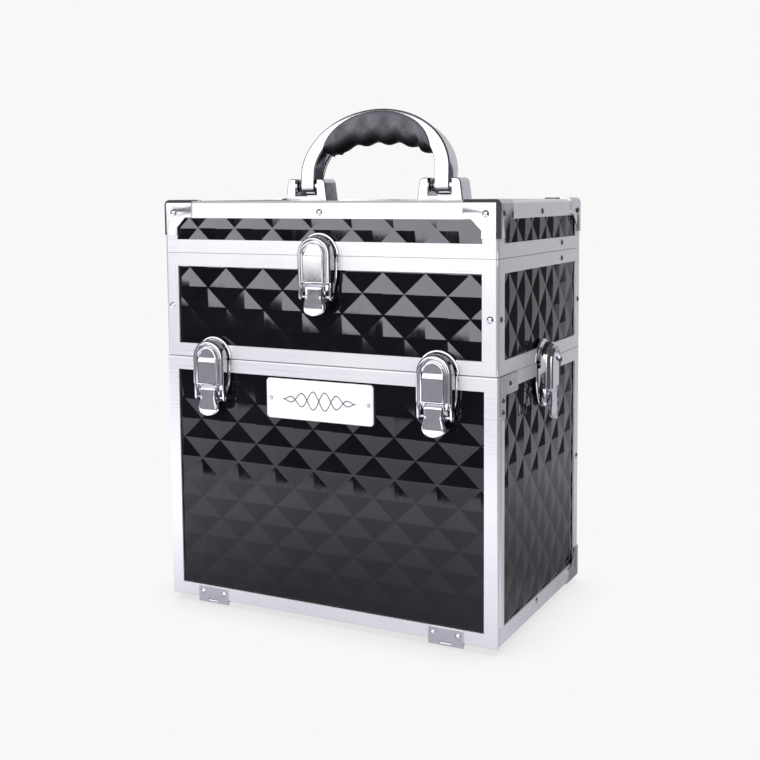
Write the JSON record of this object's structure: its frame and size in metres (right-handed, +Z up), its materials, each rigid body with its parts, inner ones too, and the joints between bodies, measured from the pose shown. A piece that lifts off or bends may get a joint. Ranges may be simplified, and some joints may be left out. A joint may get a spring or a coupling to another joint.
{
  "type": "makeup train case",
  "caption": "Upright cosmetics case with a drop-front lower box, a lift-off upper box, a hinged lid, draw latches and a folding handle.",
  "frame": {"origin": "middle of the overall footprint, on the surface the rubber feet stand on", "axes": "+X to the case's right seen from the front, +Y from the front to the rear hinges, +Z up"},
  "size_m": [0.325, 0.2109, 0.4186],
  "materials": {
    "satin_aluminium": "extruded aluminium edge, fine lengthwise brushing, clear anodised",
    "black_panel": "high-gloss black sheet embossed with rows of low four-sided facets",
    "polished_chrome": "bright chrome plate",
    "polished_steel": "nickel-plated pressed steel",
    "polished_rivet": "nickel-plated domed rivet",
    "plate_silver": "silver name plate, blank",
    "grey_grip": "moulded soft plastic with finger scallops",
    "black_rubber": "moulded rubber",
    "black_lining": "black flocked lining"
  },
  "bodies": {
    "lower_box": {"lower_side_boards": "black_panel", "lower_rear_board": "black_panel", "lower_floor_board": "black_panel", "lower_bottom_edges": "satin_aluminium", "lower_top_rails": "satin_aluminium", "lower_corner_strips": "satin_aluminium", "lower_lining": "black_lining", "front_corner_brackets": "polished_steel", "lower_corner_guards": "polished_steel", "lower_rivets": "polished_rivet", "rubber_feet": "black_rubber", "door_hinge_fixed_leaves": "polished_steel", "door_hinge_pins": "polished_steel", "side_latch_bases": "polished_chrome", "side_latch_pins": "polished_chrome"},
    "door": {"door_frame_rails": "satin_aluminium", "door_board": "black_panel", "door_lining": "black_lining", "door_hinge_moving_leaves": "polished_steel", "door_rivets": "polished_rivet", "name_plate": "plate_silver", "front_latch_bases": "polished_chrome", "front_latch_pins": "polished_chrome"},
    "upper_box": {"upper_boards": "black_panel", "upper_bottom_rails": "satin_aluminium", "upper_floor_board": "black_panel", "upper_top_rails": "satin_aluminium", "upper_corner_strips": "satin_aluminium", "upper_lining": "black_lining", "upper_rivets": "polished_rivet", "front_latch_catches": "polished_chrome", "side_latch_catches": "polished_chrome", "lid_latch_base": "polished_chrome", "lid_latch_pin": "polished_chrome", "lid_hinge_box_leaves": "polished_steel", "lid_hinge_pins": "polished_steel"},
    "lid": {"lid_wall_boards": "black_panel", "lid_top_board": "black_panel", "lid_top_edges": "satin_aluminium", "lid_bottom_rails": "satin_aluminium", "lid_corner_strips": "satin_aluminium", "lid_corner_guards": "polished_steel", "lid_rivets": "polished_rivet", "lid_latch_catch": "polished_chrome", "lid_hinge_lid_leaves": "polished_steel", "lid_lining": "black_lining", "handle_brackets": "polished_chrome", "handle_pins": "polished_chrome"},
    "handle": {"handle_bow": "polished_chrome", "handle_grip": "grey_grip"},
    "left_front_latch_lever": {"left_front_latch_lever": "polished_chrome"},
    "left_front_latch_cover": {"left_front_latch_cover": "polished_chrome"},
    "right_front_latch_lever": {"right_front_latch_lever": "polished_chrome"},
    "right_front_latch_cover": {"right_front_latch_cover": "polished_chrome"},
    "left_side_latch_lever": {"left_side_latch_lever": "polished_chrome"},
    "left_side_latch_cover": {"left_side_latch_cover": "polished_chrome"},
    "right_side_latch_lever": {"right_side_latch_lever": "polished_chrome"},
    "right_side_latch_cover": {"right_side_latch_cover": "polished_chrome"},
    "lid_latch_lever": {"lid_latch_lever": "polished_chrome"},
    "lid_latch_cover": {"lid_latch_cover": "polished_chrome"}
  },
  "joints": [
    {"name": "door_hinge", "type": "hinge", "parent": "lower_box", "child": "door", "pos_m": [0, -0.0918, 0.0029], "axis": [1, 0, 0], "range_deg": [0, 85]},
    {"name": "upper_box_lift", "type": "slide", "parent": "lower_box", "child": "upper_box", "axis": [0, 0, 1], "range_m": [0, 0.12]},
    {"name": "lid_hinge", "type": "hinge", "parent": "upper_box", "child": "lid", "pos_m": [0, 0.104, 0.298], "axis": [-1, 0, 0], "range_deg": [0, 95]},
    {"name": "handle_fold", "type": "hinge", "parent": "lid", "child": "handle", "pos_m": [0, 0.0046, 0.3527], "axis": [1, 0, 0], "range_deg": [-70, 98]},
    {"name": "left_front_latch_lift", "type": "hinge", "parent": "door", "child": "left_front_latch_lever", "pos_m": [-0.102, -0.0984, 0.1868], "axis": [-1, 0, 0], "range_deg": [0, 100]},
    {"name": "left_front_latch_draw", "type": "hinge", "parent": "left_front_latch_lever", "child": "left_front_latch_cover", "pos_m": [-0.102, -0.0979, 0.1793], "axis": [-1, 0, 0], "range_deg": [-115, 0]},
    {"name": "right_front_latch_lift", "type": "hinge", "parent": "door", "child": "right_front_latch_lever", "pos_m": [0.102, -0.0984, 0.1868], "axis": [-1, 0, 0], "range_deg": [0, 100]},
    {"name": "right_front_latch_draw", "type": "hinge", "parent": "right_front_latch_lever", "child": "right_front_latch_cover", "pos_m": [0.102, -0.0979, 0.1793], "axis": [-1, 0, 0], "range_deg": [-115, 0]},
    {"name": "left_side_latch_lift", "type": "hinge", "parent": "lower_box", "child": "left_side_latch_lever", "pos_m": [-0.156, 0.0046, 0.1868], "axis": [0, 1, 0], "range_deg": [0, 100]},
    {"name": "left_side_latch_draw", "type": "hinge", "parent": "left_side_latch_lever", "child": "left_side_latch_cover", "pos_m": [-0.1555, 0.0046, 0.1793], "axis": [0, 1, 0], "range_deg": [-115, 0]},
    {"name": "right_side_latch_lift", "type": "hinge", "parent": "lower_box", "child": "right_side_latch_lever", "pos_m": [0.156, 0.0046, 0.1868], "axis": [0, -1, 0], "range_deg": [0, 100]},
    {"name": "right_side_latch_draw", "type": "hinge", "parent": "right_side_latch_lever", "child": "right_side_latch_cover", "pos_m": [0.1555, 0.0046, 0.1793], "axis": [0, -1, 0], "range_deg": [-115, 0]},
    {"name": "lid_latch_lift", "type": "hinge", "parent": "upper_box", "child": "lid_latch_lever", "pos_m": [0, -0.0984, 0.2735], "axis": [-1, 0, 0], "range_deg": [0, 100]},
    {"name": "lid_latch_draw", "type": "hinge", "parent": "lid_latch_lever", "child": "lid_latch_cover", "pos_m": [0, -0.0979, 0.266], "axis": [-1, 0, 0], "range_deg": [-115, 0]}
  ],
  "couplings": [
    {"joint": "left_front_latch_draw", "follows": "left_front_latch_lift", "ratio": -1.15},
    {"joint": "right_front_latch_draw", "follows": "right_front_latch_lift", "ratio": -1.15},
    {"joint": "left_side_latch_draw", "follows": "left_side_latch_lift", "ratio": -1.15},
    {"joint": "right_side_latch_draw", "follows": "right_side_latch_lift", "ratio": -1.15},
    {"joint": "lid_latch_draw", "follows": "lid_latch_lift", "ratio": -1.15}
  ]
}
